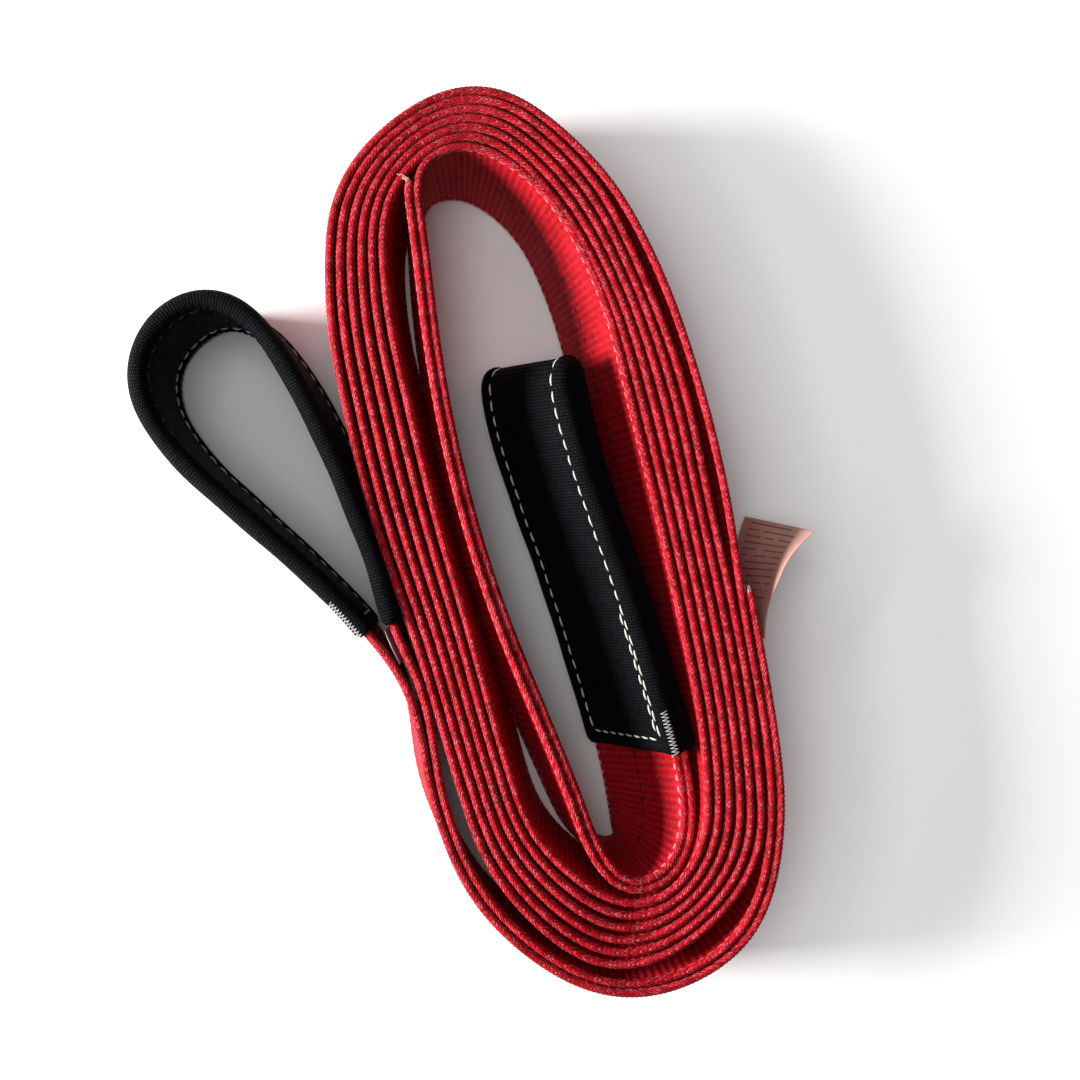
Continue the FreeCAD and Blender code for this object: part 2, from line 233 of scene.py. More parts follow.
class Paint:
    """One material and its node tree."""

    def __init__(self, name: str) -> None:
        """Starts a material with an empty tree.

        Args:
            name: the material's name.
        """
        self.material = bpy.data.materials.new(name)
        self.material.use_nodes = True
        self.tree = self.material.node_tree
        self.tree.nodes.clear()

    def node(self, kind: str, settings: dict | None = None, inputs: dict | None = None) -> bpy.types.Node:
        """Adds a node.

        Args:
            kind: the node's type.
            settings: its settings, set before its sockets.
            inputs: its sockets by name or number, as values, sockets or constants.

        Returns:
            The node.
        """
        made = self.tree.nodes.new(kind)
        for name, value in (settings or {}).items():
            setattr(made, name, value)
        for key, value in (inputs or {}).items():
            socket = made.inputs[key]
            if isinstance(value, Value):
                self.tree.links.new(value.socket, socket)
            elif isinstance(value, bpy.types.NodeSocket):
                self.tree.links.new(value, socket)
            else:
                socket.default_value = value
        return made

    def cloth(self) -> tuple[Value, Value]:
        """The piece's own map: metres along the cloth and metres round its section."""
        cloth_map = self.node("ShaderNodeUVMap", {"uv_map": "cloth"})
        split = self.node("ShaderNodeSeparateXYZ", inputs={0: cloth_map.outputs[0]})
        return Value(self.tree, split.outputs[0]), Value(self.tree, split.outputs[1])

    def mix(self, factor: Value | float, low: object, high: object) -> bpy.types.NodeSocket:
        """Blends two colours.

        Args:
            factor: 0 for the first and 1 for the second.
            low: the first colour, as a tuple or a socket.
            high: the second colour.

        Returns:
            The blended colour.
        """
        colours = {6: low, 7: high}
        inputs = {key: (*c, 1.0) if isinstance(c, tuple) else c for key, c in colours.items()}
        return self.node("ShaderNodeMix", {"data_type": "RGBA"}, {0: factor, **inputs}).outputs[2]

    def noise(self, scale: float, detail: float = 2.0) -> Value:
        """Cloudy noise from 0 to 1 in the object's space.

        Args:
            scale: the noise's scale, per metre.
            detail: how many finer layers it has.

        Returns:
            The noise.
        """
        own = self.node("ShaderNodeTexCoord").outputs["Object"]
        made = self.node("ShaderNodeTexNoise", inputs={"Vector": own, "Scale": scale, "Detail": detail})
        return Value(self.tree, made.outputs[0])

    def cells(self, along: Value, across: Value) -> Value:
        """A number from 0 to 1 that is different in each whole cell of two values."""
        place = self.node("ShaderNodeCombineXYZ", inputs={0: along.whole(), 1: across.whole()})
        made = self.node("ShaderNodeTexWhiteNoise", {"noise_dimensions": "2D"}, {"Vector": place.outputs[0]})
        return Value(self.tree, made.outputs[0])

    def rise(self, value: Value, low: float, high: float) -> Value:
        """Goes smoothly from 0 at low to 1 at high."""
        made = self.node("ShaderNodeMapRange", {"interpolation_type": "SMOOTHSTEP"},
                         {"Value": value, "From Min": low, "From Max": high})
        return Value(self.tree, made.outputs[0])

    def finish(self, colour: object, roughness: Value | float, height: Value, depth: float,
               others: dict) -> bpy.types.Material:
        """Joins colour, roughness and relief in the shader.

        Args:
            colour: a colour socket.
            roughness: a value or a number.
            height: the relief, from 0 to 1.
            depth: the relief's depth in metres.
            others: the shader's other sockets.

        Returns:
            The material.
        """
        bump = self.node("ShaderNodeBump", inputs={"Height": height, "Distance": depth})
        inputs = {"Base Color": colour, "Roughness": roughness, "Normal": bump.outputs[0], **others}
        shader = self.node("ShaderNodeBsdfPrincipled", inputs=inputs)
        self.node("ShaderNodeOutputMaterial", inputs={0: shader.outputs[0]})
        return self.material


# ------------------------------------------------------------------- finishes


@dataclass(frozen=True)
class WebFinish:
    """Dyed polyester web: a ribbed face between two plaited selvedges, with a black tracer yarn. Its colour
    also holds painted shade in the grooves between ribs and strands, painted highlights on their crests, and
    pale painted highlight flecks.
    """

    # deep and bright are painted shade in the grooves and painted highlight on the crests, mixed with random
    # yarn tone; the pale pink is a painted highlight.
    deep: tuple = (0.080, 0.0004, 0.0010)
    body: tuple = (0.43, 0.0020, 0.0085)
    bright: tuple = (0.82, 0.020, 0.050)
    painted_highlight: tuple = (0.95, 0.26, 0.31)
    tracer: tuple = (0.012, 0.004, 0.005)
    rib: float = 3.1 * MM
    plait: float = 1.85 * MM
    highlight_fleck_pitch: float = 4.6 * MM
    tracer_pitch: float = 6.9 * MM
    yarn: float = 0.95 * MM
    rope: float = 3.0 * MM
    quarter: float = 26.6 * MM  # a quarter of the way round the web's section

    def material(self) -> bpy.types.Material:
        """The web's material, drawn along and round the cloth's own map."""
        paint = Paint("red_polyester_web")
        along, round_it = paint.cloth()
        middle = round_it.fold(self.quarter)
        crest = self.quarter - middle
        on_rope = 1 - paint.rise(crest, self.rope - 0.3 * MM, self.rope + 0.3 * MM)
        slope = along / self.plait + crest / (1.15 * MM)
        strand = slope.ridge()
        filament = (slope * 3 + crest / (0.9 * MM)).ridge()
        strand_tone = paint.cells(slope, round_it / (self.quarter * 2))
        ribs = (along / self.rib).wave()
        column = middle / self.yarn
        step = (along / (self.rib / 2)).whole() * 0.5
        yarn = (column + step).ridge()
        yarn_tone = paint.cells(column + step, along / (self.rib / 2))
        cloudy = paint.noise(45.0, 3.0)

        # The tone is painted shade in the rib and strand grooves and painted highlight on their crests, with
        # random yarn tone and cloud.
        face_tone_and_shade = ribs * 0.30 + yarn * 0.24 + yarn_tone * 0.26 + cloudy * 0.35 - 0.12
        rope_tone_and_shade = strand * 0.50 + filament * 0.20 + strand_tone * 0.42 + cloudy * 0.25 - 0.24
        tone = face_tone_and_shade * (1 - on_rope) + rope_tone_and_shade * on_rope
        low = paint.mix(paint.rise(tone, 0.0, 0.55), self.deep, self.body)
        red = paint.mix(paint.rise(tone, 0.50, 1.05), low, self.bright)
        # Painted highlights: pale dashes along the selvedge's edge and pale stray strands on the rope crests.
        highlight_flecks = ((crest - (self.rope + 0.1 * MM)).size().below(0.80 * MM)
                  * (along / self.highlight_fleck_pitch).fraction().below(0.50))
        stray_highlights = on_rope * strand * paint.cells(slope * 2, crest / (0.45 * MM)).maths("GREATER_THAN", 0.80)
        pale = paint.mix((highlight_flecks * 0.72 + stray_highlights * 0.42).maths("MINIMUM", 1.0), red, self.painted_highlight)
        dashes = middle.below(0.55 * MM) * (along / self.tracer_pitch).fraction().below(0.5)
        colour = paint.mix(dashes * 0.96, pale, self.tracer)

        face_height = ribs * 0.45 + yarn * 0.30 + yarn_tone * 0.12
        rope_height = strand * 0.75 + filament * 0.22
        height = face_height * (1 - on_rope) + rope_height * on_rope + highlight_flecks * 0.25
        return paint.finish(colour, 0.72 - tone * 0.20, height, 0.42 * MM, {"Specular IOR Level": 0.16})


@dataclass(frozen=True)
class SleeveFinish:
    """Coarse black wear sleeve: plain weave with rows across the sleeve, with a painted highlight on the
    weave's knuckles.
    """

    deep: tuple = (0.0004, 0.0004, 0.0006)
    # glint: the painted highlight on the weave's knuckles.
    glint: tuple = (0.0058, 0.0082, 0.0118)
    row: float = 1.23 * MM
    column: float = 1.05 * MM

    def material(self) -> bpy.types.Material:
        """The sleeve's material."""
        paint = Paint("black_wear_sleeve")
        along, round_it = paint.cloth()
        rows = along / self.row
        columns = round_it / self.column + rows.whole() * 0.5
        knuckle = rows.ridge() * columns.ridge()
        tone = paint.cells(columns, rows)
        cloudy = paint.noise(60.0, 3.0)
        # The knuckles' painted highlight, varied at random.
        light = paint.rise(knuckle * (0.55 + tone * 0.6) * (0.6 + cloudy * 0.8), 0.18, 0.85)
        colour = paint.mix(light, self.deep, self.glint)
        return paint.finish(colour, 0.78 - light * 0.25, knuckle + tone * 0.15, 0.30 * MM,
                            {"Specular IOR Level": 0.07})


@dataclass(frozen=True)
class ThreadFinish:
    """Twisted sewing thread, painted darker in the grooves of its twist as painted shade, with random cloudy
    tone.
    """

    name: str
    light: tuple
    dark: tuple
    twist: float = 0.75 * MM

    def material(self) -> bpy.types.Material:
        """The thread's material, its twist drawn along and round the thread."""
        paint = Paint(self.name)
        along, round_it = paint.cloth()
        lay = (along / self.twist + round_it / (1.4 * MM)).ridge()
        cloudy = paint.noise(400.0, 2.0)
        # Painted shade: the dark colour falls in the twist's grooves, the light one on its crests.
        colour = paint.mix(paint.rise(lay * 0.8 + cloudy * 0.5, 0.1, 0.9), self.dark, self.light)
        return paint.finish(colour, 0.55, lay, 0.12 * MM, {"Specular IOR Level": 0.4, "Sheen Weight": 0.1})


@dataclass(frozen=True)
class TagFinish:
    """Thin satin label cloth with plain ruled lines on its inner face; its salmon pink is painted red bounce
    light from the web and painted shade on pale cloth.
    """

    # Salmon pinks: painted red bounce light and painted shade on the pale cloth.
    cloth: tuple = (0.62, 0.30, 0.25)
    bounce_lit_pink: tuple = (0.72, 0.42, 0.36)
    ink: tuple = (0.20, 0.06, 0.05)
    line_pitch: float = 2.9 * MM

    def material(self) -> bpy.types.Material:
        """The tag's material."""
        paint = Paint("tag_satin")
        along, up = paint.cloth()
        weave = ((along + up) / (0.5 * MM)).ridge() * 0.5 + ((along - up) / (0.5 * MM)).ridge() * 0.5
        # base: the painted bounce light and shade, varied by cloud.
        base = paint.mix(paint.rise(paint.noise(35.0, 2.0), 0.3, 0.75), self.cloth, self.bounce_lit_pink)
        line = along / self.line_pitch
        block = (paint.rise(up, 5 * MM, 5.4 * MM) * (1 - paint.rise(up, 37 * MM, 37.4 * MM))
                 * paint.rise(along, 14 * MM, 14.4 * MM) * (1 - paint.rise(along, 52 * MM, 52.4 * MM)))
        gaps = paint.cells(up / (3.2 * MM), line).maths("GREATER_THAN", 0.16)
        ink = (line.fraction() - 0.5).size().below(0.13) * block * gaps
        colour = paint.mix(ink * 0.75, base, self.ink)
        return paint.finish(colour, 0.5, weave, 0.05 * MM,
                            {"Specular IOR Level": 0.4, "Sheen Weight": 0.15, "Sheen Roughness": 0.3})


@dataclass(frozen=True)
class TapeFinish:
    """Narrow pale tape, left blank; its lavender grey is painted shade on the pale cloth, and its weave's
    grooves are painted darker as painted shade.
    """

    # Lavender greys: painted shade on pale tape.
    light: tuple = (0.78, 0.74, 0.86)
    dark: tuple = (0.55, 0.50, 0.66)

    def material(self) -> bpy.types.Material:
        """The tape's material."""
        paint = Paint("blank_tape")
        along, up = paint.cloth()
        weave = (along / (0.6 * MM)).ridge() * (up / (0.6 * MM)).ridge()
        colour = paint.mix(weave, self.dark, self.light)
        return paint.finish(colour, 0.5, weave, 0.05 * MM, {"Sheen Weight": 0.1})


@dataclass(frozen=True)
class FloorFinish:
    """Plain pale floor with a painted glow where nothing stands near it; the glow fades out near and between
    the pieces as painted shade.
    """

    colour: tuple = (0.93, 0.93, 0.935)
    glow: float = 0.45
    reach: float = 70.0 * MM  # how far off a piece still takes from the glow

    def material(self) -> bpy.types.Material:
        """The floor's material."""
        paint = Paint("pale_floor")
        cloudy = paint.noise(3.0, 2.0)
        shade = tuple(0.985 * c for c in self.colour)
        # Painted shade: the floor's glow is taken away near the pieces by their ambient occlusion.
        nearby = paint.node("ShaderNodeAmbientOcclusion", inputs={"Distance": self.reach})
        unshaded_share = Value(paint.tree, nearby.outputs["AO"])
        painted_glow_colour = paint.mix(unshaded_share * unshaded_share * unshaded_share, (0.0, 0.0, 0.0), self.colour)
        others = {"Specular IOR Level": 0.1, "Emission Color": painted_glow_colour, "Emission Strength": self.glow}
        return paint.finish(paint.mix(cloudy, shade, self.colour), 0.85, cloudy, 0.02 * MM, others)


# ------------------------------------------------------------------- geometry


class Route:
    """A smooth line with a lean and a slip at each place.

    It runs from the middle of one run between corners to the middle of the next as a parabola that the
    corner pulls. It is then eased: each place becomes a bell-shaped average of its neighbours, and what
    that takes from the bends is averaged and given back.
    """

    FINE = 48
    SPACING = 0.5 * MM

    def __init__(self, corners: np.ndarray, easing: float = 9.0 * MM) -> None:
        """Works out the parabolas, the length along them and the eased line.

        Args:
            corners: rows of (x, y, lean, slip).
            easing: the bell's half width.
        """
        middles = (corners[1:-2] + corners[2:-1]) / 2
        pull = corners[1:-1]
        begin, end = np.vstack([corners[:1], middles]), np.vstack([middles, corners[-1:]])
        self.steps = np.linspace(0, len(pull), len(pull) * self.FINE + 1)
        piece = np.minimum(self.steps.astype(int), len(pull) - 1)
        t = (self.steps - piece)[:, None]
        rows = (1 - t) ** 2 * begin[piece] + 2 * t * (1 - t) * pull[piece] + t * t * end[piece]
        moves = np.linalg.norm(np.diff(rows[:, :2], axis=0), axis=1)
        self.lengths = np.concatenate([[0], np.cumsum(moves)])
        self.places = np.arange(0, self.lengths[-1], self.SPACING)
        even = np.column_stack([np.interp(self.places, self.lengths, column) for column in rows.T])
        eased = self._eased(even, easing)
        self.rows = eased + self._eased(even - eased, easing)
        rate = np.gradient(self.rows[:, :2], axis=0)
        self.headings = rate / np.linalg.norm(rate, axis=1, keepdims=True)

    def _eased(self, rows: np.ndarray, easing: float) -> np.ndarray:
        """Bell-shaped averages of rows that run on straight past both ends."""
        reach = int(4 * easing / self.SPACING)
        bell = np.exp(-0.5 * (np.arange(-reach, reach + 1) * self.SPACING / easing) ** 2)
        far = np.arange(reach, 0, -1)[:, None]
        longer = np.vstack([rows[:1] + far * (rows[:1] - rows[1:2]), rows,
                            rows[-1:] + far[::-1] * (rows[-1:] - rows[-2:-1])])
        return np.column_stack([np.convolve(column, bell / bell.sum(), "valid") for column in longer.T])

    def length_to(self, step: float) -> float:
        """Length from the start to the middle of a run, given by the run's number."""
        return float(np.interp(step, self.steps, self.lengths))

    def nearest(self, x: float, y: float, low: float, high: float) -> float:
        """Length from the start to the place nearest a layout point.

        Args:
            x: the point's x in layout millimetres.
            y: the point's y.
            low: the length to look from.
            high: the length to look to.

        Returns:
            The length in metres.
        """
        gaps = np.linalg.norm(self.rows[:, :2] - (np.array([x, y]) - MIDDLE) * MM, axis=1)
        gaps[(self.places < low) | (self.places > high)] = np.inf
        return float(self.places[gaps.argmin()])

    def at(self, length: np.ndarray) -> tuple[np.ndarray, np.ndarray, np.ndarray, np.ndarray]:
        """Place, heading, lean and slip at each length.

        Args:
            length: lengths from the start, any shape; outside the route it runs on straight.

        Returns:
            The places (..., 2), unit headings (..., 2), leans and slips.
        """
        inside = np.clip(length, 0, self.places[-1])
        row = np.stack([np.interp(inside, self.places, column) for column in self.rows.T], -1)
        heading = np.stack([np.interp(inside, self.places, column) for column in self.headings.T], -1)
        heading /= np.linalg.norm(heading, axis=-1, keepdims=True)
        return row[..., :2] + (length - inside)[..., None] * heading, heading, row[..., 2], row[..., 3]


@dataclass
class Strip:
    """A web's own space: metres along a route, metres out from its middle plane and metres up its width."""

    route: Route
    width: float = WEB_WIDTH
    held: float = 1.0
    lift: float = 0.0
    offset: Callable[[np.ndarray], np.ndarray] = lambda length: np.zeros_like(length)
    stand: np.ndarray = field(default_factory=lambda: np.eye(4))

    def place(self, along: np.ndarray, out: np.ndarray, up: np.ndarray) -> np.ndarray:
        """Turns places in the strip's space into frame points.

        The top edge lies on the route, or the edge that the held share of the width gives. The width's
        direction is upright turned towards the route's left by the lean, and the web is raised by its
        lean's share of the thickness so that it stays on the ground.

        Args:
            along: metres along the route.
            out: metres to the left of the middle plane.
            up: metres from the bottom edge.

        Returns:
            Frame points, one for each place.
        """
        along, out, up = np.broadcast_arrays(np.asarray(along, float), out, up)
        spot, heading, lean, slip = self.route.at(along)
        left = np.stack([-heading[..., 1], heading[..., 0]], -1)
        sine, cosine = np.sin(lean), np.cos(lean)
        away = out + self.offset(along)
        below = self.held * self.width - up
        side = away * cosine - below * sine
        raised = np.abs(sine) * (WEB_THICKNESS / 2 + np.abs(self.offset(along)))
        high = self.lift + up * cosine - away * sine + raised
        ahead = slip * below / self.width
        flat = spot + side[..., None] * left + ahead[..., None] * heading
        points = np.concatenate([flat, high[..., None]], -1)
        return points @ self.stand[:3, :3].T + self.stand[:3, 3]


class Shape:
    """Puts numpy surfaces into meshes."""

    @staticmethod
    def tubes(name: str, rings: np.ndarray, along: np.ndarray, around: np.ndarray) -> bpy.types.Object:
        """Closed tubes, each a grid of rings whose two ends are gathered to their middles.

        Args:
            name: the object's name.
            rings: points (tubes, stations, ring, 3).
            along: cloth coordinate of each station (tubes, stations).
            around: cloth coordinate of each ring point and of the first again (ring + 1).

        Returns:
            The object, its faces outwards.
        """
        count, stations, ring, _ = rings.shape
        caps = rings[:, [0, -1]].mean(axis=2, keepdims=True).repeat(ring, axis=2)
        grid = np.concatenate([caps[:, :1], rings, caps[:, 1:]], axis=1)
        s = np.concatenate([along[:, :1], along, along[:, -1:]], axis=1)
        rows = stations + 2
        tube, i, j = np.meshgrid(np.arange(count), np.arange(rows - 1), np.arange(ring), indexing="ij")
        after = (j + 1) % ring

        def number(row: np.ndarray, column: np.ndarray) -> np.ndarray:
            """Corner numbers, with each cap's row kept to one corner."""
            inner = (row - 1).clip(0, stations - 1) * ring + column + 1
            start = tube * (stations * ring + 2)
            return start + np.where(row == 0, 0, np.where(row == rows - 1, stations * ring + 1, inner))

        faces = np.stack([number(i, j), number(i + 1, j), number(i + 1, after), number(i, after)], -1)
        faces = faces.reshape(-1, 4)
        uv = np.stack([
            np.stack([s[tube, i], around[j]], -1), np.stack([s[tube, i + 1], around[j]], -1),
            np.stack([s[tube, i + 1], around[j + 1]], -1), np.stack([s[tube, i], around[j + 1]], -1)], -2)
        uv = uv.reshape(-1, 4, 2)
        points = np.concatenate([grid[:, :1, 0], rings.reshape(count, -1, 3), grid[:, -1:, 0]], axis=1)
        points = points.reshape(-1, 3)
        a, b, c, d = (points[faces[:, k]] for k in range(4))
        volume = (np.cross(a, b) * c).sum() + (np.cross(a, c) * d).sum()
        if volume < 0:
            faces, uv = faces[:, ::-1], uv[:, ::-1]
        return Shape.mesh(name, points, faces, uv)

    @staticmethod
    def mesh(name: str, points: np.ndarray, faces: np.ndarray, uv: np.ndarray) -> bpy.types.Object:
        """An object of four-sided faces; one that has the same corner twice in a row becomes three-sided.

        Args:
            name: the object's name.
            points: corners (n, 3).
            faces: corner numbers (k, 4), turned outwards.
            uv: cloth coordinates (k, 4, 2).

        Returns:
            The object, at the origin.
        """
        following = np.roll(faces, -1, axis=1)
        keep = faces != following
        sizes = keep.sum(axis=1)
        mesh = bpy.data.meshes.new(name)
        mesh.vertices.add(len(points))
        mesh.vertices.foreach_set("co", np.ascontiguousarray(points, np.float32).ravel())
        mesh.loops.add(int(sizes.sum()))
        mesh.loops.foreach_set("vertex_index", faces[keep].astype(np.int32))
        mesh.polygons.add(len(faces))
        mesh.polygons.foreach_set("loop_start", (np.cumsum(sizes) - sizes).astype(np.int32))
        mesh.polygons.foreach_set("use_smooth", np.ones(len(faces), bool))
        mesh.uv_layers.new(name="cloth").data.foreach_set("uv", uv[keep].astype(np.float32).ravel())
        mesh.update(calc_edges=True)
        mesh.validate()
        made = bpy.data.objects.new(name, mesh)
        bpy.context.scene.collection.objects.link(made)
        return made


def arc_lengths(section: np.ndarray, start: int) -> np.ndarray:
    """Length round a closed section from one of its points.

    Args:
        section: points (m, 2).
        start: the point that is 0.

    Returns:
        The length at each point and at the first again (m + 1).
    """
    closed = np.vstack([section, section[:1]])
    lengths = np.concatenate([[0], np.cumsum(np.linalg.norm(np.diff(closed, axis=0), axis=1))])
    return lengths - lengths[start]


@dataclass
class WebSection:
    """The web's section: two plaited selvedges joined by a ribbed face."""

    selvedge: float = 1.63 * MM
    groove: float = 1.22 * MM
    face: float = 1.38 * MM
    plait: float = 1.85 * MM
    rib: float = 3.1 * MM
    plait_relief: float = 0.10 * MM
    rib_relief: float = 0.16 * MM
    step: float = 0.4625 * MM

    def outline(self) -> tuple[np.ndarray, np.ndarray, np.ndarray]:
        """The section going up the left face, over the top, down the right face and under.

        Returns:
            Points (m, 2) as out and up, how much each belongs to a rib, and how much to the plait.
        """
        half = WEB_WIDTH / 2
        mids = np.array([0.0, 0.3, 0.62, 0.8]) * half
        side = [(self.face, half + m) for m in mids] + [(self.groove, WEB_WIDTH - 3.3 * MM)]
        turn = np.radians([-35, 0, 30, 60, 90, 120, 150, 180, 215])
        centre = WEB_WIDTH - self.selvedge
        top = [(self.selvedge * math.cos(t), centre + self.selvedge * math.sin(t)) for t in turn]
        quarter = np.array(side + top)
        upper = np.vstack([quarter, quarter[:5][::-1] * (-1, 1)])
        lower = upper[1:-1] * (-1, -1) + (0, WEB_WIDTH)
        points = np.vstack([upper, lower])
        rope = np.array([0.0] * 5 + [0.6] + [1.0] * 7 + [0.6] + [0.0] * 5)
        rib = np.array([1.0] * 4 + [0.0] * 11 + [1.0] * 4)
        return points, np.concatenate([rib, rib[1:-1]]), np.concatenate([rope, rope[1:-1]])

    def surface(self, name: str, strip: Strip, low: float, high: float) -> bpy.types.Object:
        """The web between two lengths along its strip.

        Each section point is moved away from the section's middle: on the faces by a cosine of the length
        over the rib's pitch, and on the selvedges by a cosine of the length over the plait's pitch, which
        lags behind with the distance from the crest so that the strands meet there in a point.

        Args:
            name: the piece's name.
            strip: the strip that the web fills.
            low: the length that it starts at.
            high: the length that it ends at.

        Returns:
            The piece.
        """
        points, rib, rope = self.outline()
        count = max(8, int((high - low) / self.step))
        along = np.linspace(low, high, count + 1)[:, None]
        edge = np.where(points[:, 1] > WEB_WIDTH / 2, WEB_WIDTH, 0.0)
        lag = np.abs(points[:, 0]) / (1.5 * MM)
        ribs = self.rib_relief * rib * 0.5 * (np.cos(2 * np.pi * along / self.rib) - 1)
        plait = self.plait_relief * rope * np.cos(2 * np.pi * (along / self.plait + lag))
        hub = np.stack([np.zeros(len(points)), np.abs(edge - self.selvedge)], -1)
        away = points - hub
        away /= np.linalg.norm(away, axis=1, keepdims=True)
        out = points[:, 0] + np.sign(points[:, 0]) * ribs + away[:, 0] * plait
        up = points[:, 1] + away[:, 1] * plait
        rings = strip.place(along, out, up)
        around = arc_lengths(points, 0)
        return Shape.tubes(name, rings[None], along[None, :, 0], around)


@dataclass
class SleeveSection:
    """A wear sleeve's section: a cloth tube, full at its two folds and drawn in at its two seams."""

    fold: float = 4.0 * MM
    seam: float = 2.75 * MM
    face: float = 3.25 * MM
    step: float = 0.85 * MM
    pucker: float = 3.4 * MM

    def outline(self) -> np.ndarray:
        """The section going up the left face and round.

        Returns:
            Points (m, 2) as out and up from the web's bottom edge.
        """
        top = SLEEVE_HEIGHT - SLEEVE_WALL
        seam_at = top - SEAM_INSET
        turn = np.radians([-20, 0, 22, 45, 68, 90, 112, 135, 158, 180, 200])
        crown = [(self.fold * math.cos(t), top - self.fold + self.fold * math.sin(t)) for t in turn]
        side = [(self.face, WEB_WIDTH / 2), (self.face, WEB_WIDTH / 2 + 9 * MM),
                (self.face * 0.98, seam_at - 2.6 * MM), (self.seam, seam_at),
                (self.seam + 0.55 * MM, seam_at + 1.5 * MM)]
        quarter = np.array(side + crown)
        upper = np.vstack([quarter, quarter[:5][::-1] * (-1, 1)])
        return np.vstack([upper, upper[1:-1] * (-1, -1) + (0, WEB_WIDTH)])

    def surface(self, name: str, strip: Strip, low: float, high: float) -> bpy.types.Object:
        """The sleeve between two lengths along its strip.

        Its thickness drops over the last millimetres at each end, where the cloth is turned in. On the
        inside of a bend it puckers: the surface moves in by a squared sine of the length, times how sharp
        the bend is.

        Args:
            name: the piece's name.
            strip: the strip that the sleeve surrounds.
            low: the length that it starts at.
            high: the length that it ends at.

        Returns:
            The piece.
        """
        points = self.outline()
        count = int((high - low) / self.step)
        along = np.linspace(low, high, count + 1)[:, None]
        _, heading, _, _ = strip.route.at(along[:, 0])
        angle = np.unwrap(np.arctan2(heading[:, 1], heading[:, 0]))
        bend = np.gradient(angle, along[:, 0])[:, None]
        share = np.clip(np.abs(bend) / 45.0, 0, 1)
        inner = (np.sign(bend) * np.sign(points[:, 0])) > 0
        wobble = 0.10 * MM * np.sin(along * 2 * np.pi / (31 * MM) + points[:, 1] * 90)
        pucker = -0.45 * MM * share * inner * np.sin(np.pi * along / self.pucker) ** 2
        ends = np.minimum(along - low, high - along)
        closing = 0.72 + 0.28 * smooth(0, 2.4 * MM, ends)
        out = np.sign(points[:, 0]) * (np.abs(points[:, 0]) * closing + pucker + wobble)
        middle = WEB_WIDTH / 2
        up = middle + (points[:, 1] - middle) * (0.985 + 0.015 * smooth(0, 2.4 * MM, ends))
        rings = strip.place(along, out, up)
        return Shape.tubes(name, rings[None], along[None, :, 0], arc_lengths(points, 0))


def thread_grid(ring: int, stations: int = 7) -> tuple[np.ndarray, np.ndarray]:
    """The places and angles that a thread's rings are worked out at.

    Args:
        ring: points in a ring.
        stations: rings along the thread.

    Returns:
        Places along it from -1 to 1, and angles round it, shaped to go with (stitches, stations, ring).
    """
    t = np.linspace(-1, 1, stations)[None, :, None]
    return t, np.linspace(0, 2 * np.pi, ring, endpoint=False)[None, None, :]


@dataclass
class StitchRow:
    """A row of lockstitches: each a short thread that rises out of the cloth and goes back in."""

    length: float = 4.5 * MM
    pitch: float = 6.2 * MM
    radius: float = 0.43 * MM
    arch: float = 0.24 * MM
    sunk: float = 0.10 * MM
    ring: int = 6
    TAPER = 0.86

    def tubes(self, strip: Strip, centres: np.ndarray, out: float, up: float,
              seed: int) -> tuple[np.ndarray, np.ndarray]:
        """Rings for the stitches of a row.

        The thread's middle is an arch: its height over the cloth is the cosine of its place along the
        stitch. Its radius is that of an ellipsoid's section, kept up near the ends.

        Args:
            strip: the strip that the row lies on.
            centres: lengths of the stitches' middles.
            out: where the cloth's surface is, with its sign.
            up: the row's height.
            seed: for the small differences between stitches.

        Returns:
            The rings (stitches, stations, ring, 3) and the length at each station.
        """
        chance = np.random.default_rng(SEED + seed)
        t, angle = thread_grid(self.ring)
        size = (1 + chance.uniform(-0.08, 0.08, len(centres)))[:, None, None]
        drift = chance.uniform(-0.16, 0.16, len(centres))[:, None, None] * MM
        radius = self.radius * np.sqrt(1 - self.TAPER * t ** 2)
        hand = np.sign(out)
        along = centres[:, None, None] + t * size * self.length / 2
        lifted = out + hand * (self.arch * np.cos(t * np.pi / 2) - self.sunk + radius * np.cos(angle))
        height = up + drift * (1 + t) + radius * np.sin(angle)
        return strip.place(along + 0 * angle, lifted, height), (along + 0 * angle)[:, :, 0]

    def around(self) -> np.ndarray:
        """Cloth coordinate round the thread."""
        return np.linspace(0, 2 * np.pi * self.radius, self.ring + 1)


def yarn(start: np.ndarray, bends: np.ndarray, radius: float, stations: int = 12, ring: int = 5) -> tuple:
    """One loose yarn.

    Its line is the Bezier curve of its start and bends, and its ring is a circle on two directions square
    to it that narrows to half at the tip.

    Args:
        start: where it leaves the cloth.
        bends: the other control points, as steps from the start (3, 3).
        radius: its radius.
        stations: rings along it.
        ring: points in a ring.

    Returns:
        The rings (1, stations, ring, 3) and the length at each station.
    """
    t = np.linspace(0, 1, stations)[:, None]
    knots = np.vstack([start, start + bends])
    line = ((1 - t) ** 3 * knots[0] + 3 * t * (1 - t) ** 2 * knots[1]
            + 3 * t * t * (1 - t) * knots[2] + t ** 3 * knots[3])
    heading = np.gradient(line, axis=0)
    heading /= np.linalg.norm(heading, axis=1, keepdims=True)
    one = np.cross(heading, (0.31, 0.2, 0.93))
    one /= np.linalg.norm(one, axis=1, keepdims=True)
    two = np.cross(heading, one)
    angle = np.linspace(0, 2 * np.pi, ring, endpoint=False)[None, :, None]
    thin = (radius * (1 - 0.5 * t))[:, None]
    rings = line[:, None] + thin * (np.cos(angle) * one[:, None] + np.sin(angle) * two[:, None])
    lengths = np.concatenate([[0], np.cumsum(np.linalg.norm(np.diff(line, axis=0), axis=1))])
    return rings[None], lengths[None]


# --------------------------------------------------------------- the sling's pieces


